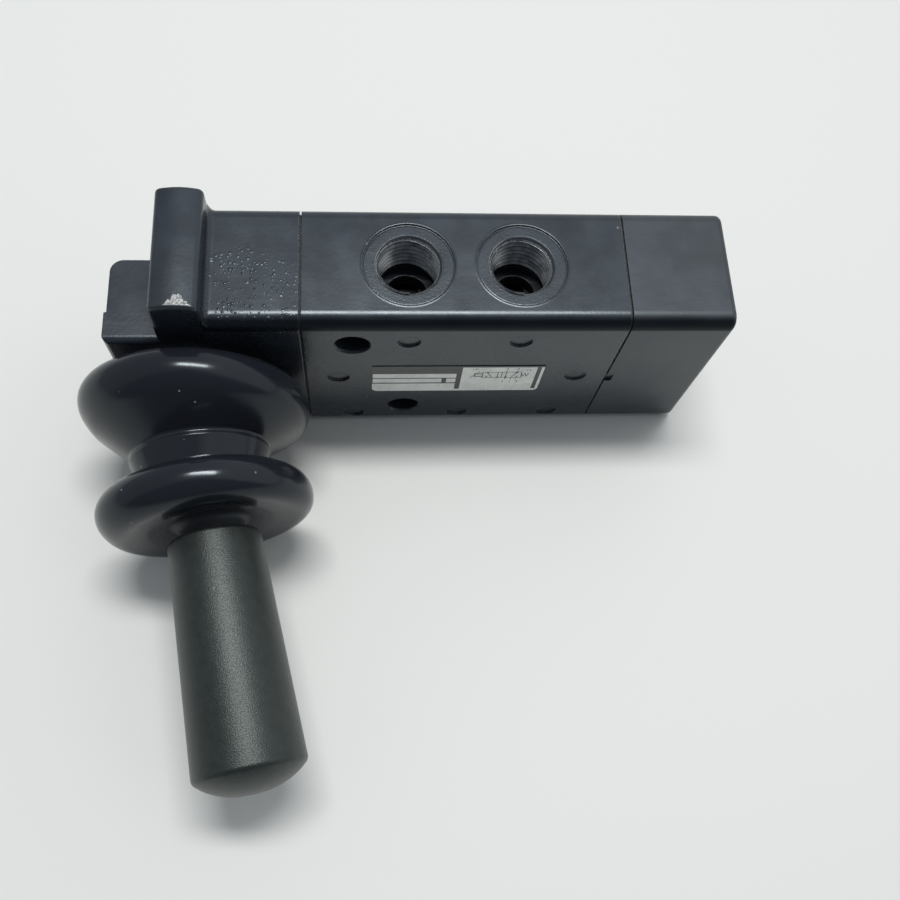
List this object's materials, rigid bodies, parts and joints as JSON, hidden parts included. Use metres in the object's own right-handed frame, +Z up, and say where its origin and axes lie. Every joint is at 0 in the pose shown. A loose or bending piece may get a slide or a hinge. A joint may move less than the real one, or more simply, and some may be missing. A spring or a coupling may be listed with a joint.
{
  "type": "hand lever air valve",
  "caption": "Inline spool air valve with threaded ports, a spring return and a side hand lever that leaves the housing through a rubber boot.",
  "frame": {"origin": "centre of the middle lower port's mouth, in the bottom face", "axes": "+X along the spool toward the end cap, +Y toward the back face, +Z up toward the outlet ports"},
  "size_m": [0.1292, 0.108, 0.0531],
  "materials": {
    "body_paint": "satin",
    "cap_paint": "matte",
    "boot_rubber": "gloss",
    "grip_plastic": "matte",
    "steel": "satin",
    "spool_metal": "satin",
    "cage_plastic": "satin",
    "seal_rubber": "matte",
    "bronze": "satin"
  },
  "bodies": {
    "valve": {"valve_body": "body_paint", "end_cap": "cap_paint", "lever_housing": "body_paint", "bellows_retainer": "steel", "cap_gasket": "seal_rubber", "housing_gasket": "seal_rubber", "cap_screws": "steel", "housing_screws": "steel", "port_cage_1": "cage_plastic", "port_cage_2": "cage_plastic", "port_cage_3": "cage_plastic", "port_cage_4": "cage_plastic", "port_cage_5": "cage_plastic", "spool_seal_1": "seal_rubber", "spool_seal_2": "seal_rubber", "spool_seal_3": "seal_rubber", "spool_seal_4": "seal_rubber", "spool_seal_5": "seal_rubber", "spool_seal_6": "seal_rubber", "end_ring_left": "cage_plastic", "end_ring_right": "cage_plastic", "guide_bush": "bronze", "return_spring": "steel", "pivot_pin": "steel"},
    "lever": {"rocker": "steel", "lower_pivot_bush": "bronze", "upper_pivot_bush": "bronze", "toe_pin": "steel", "lever_rod": "steel", "bellows": "boot_rubber", "handle_grip": "grip_plastic"},
    "spool": {"spool": "spool_metal", "spool_tip": "steel", "spring_seat": "cage_plastic"},
    "toe_roller": {"toe_roller": "steel"}
  },
  "joints": [
    {"name": "lever_hinge", "type": "hinge", "parent": "valve", "child": "lever", "pos_m": [-0.0565, -0.009, 0.0235], "axis": [0, 0, -1], "range_deg": [0, 21], "stiffness_Nm_per_rad": 0.4, "springref_deg": -28.65},
    {"name": "spool_slide", "type": "slide", "parent": "valve", "child": "spool", "axis": [1, 0, 0], "range_m": [0, 0.0033], "deforming": ["return_spring"]},
    {"name": "toe_roller_spin", "type": "hinge", "parent": "lever", "child": "toe_roller", "pos_m": [-0.05814, -0.00015, 0.0235], "axis": [0, 0, 1], "continuous": true}
  ],
  "couplings": [
    {"joint": "spool_slide", "follows": "lever_hinge", "m_per_rad": 0.0089497}
  ]
}
